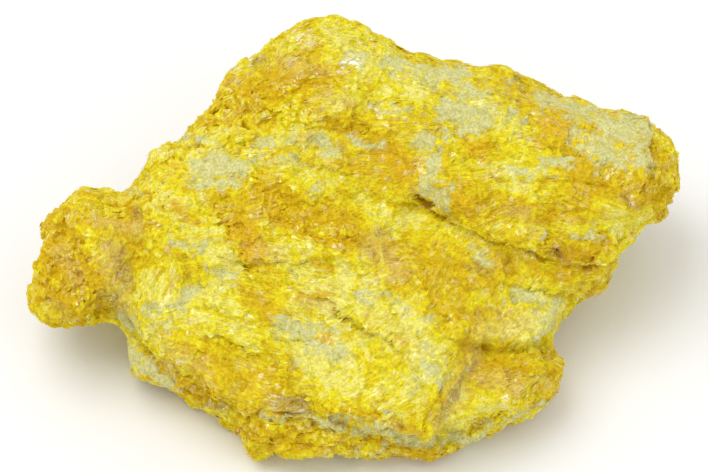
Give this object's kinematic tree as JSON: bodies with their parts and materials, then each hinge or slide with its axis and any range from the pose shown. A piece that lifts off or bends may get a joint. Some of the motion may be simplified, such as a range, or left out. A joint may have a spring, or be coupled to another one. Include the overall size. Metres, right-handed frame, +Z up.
{
  "type": "orpiment specimen",
  "caption": "Rough lump of bladed yellow orpiment ore with pale clay in its beds, lying on its flat broken underside.",
  "frame": {"origin": "on the surface that the lump lies on, under the middle of its outline box", "axes": "+X towards the lump's pointed right end as seen in the picture, +Y away from the viewer, +Z up from the surface it lies on"},
  "size_m": [0.0918, 0.065, 0.0336],
  "materials": {
    "orpiment": "broken bladed ore, lemon to golden yellow with a soft resinous shine, orange stains and matte pale clay"
  },
  "bodies": {
    "root": {"orpiment_specimen": "orpiment"}
  },
  "joints": []
}
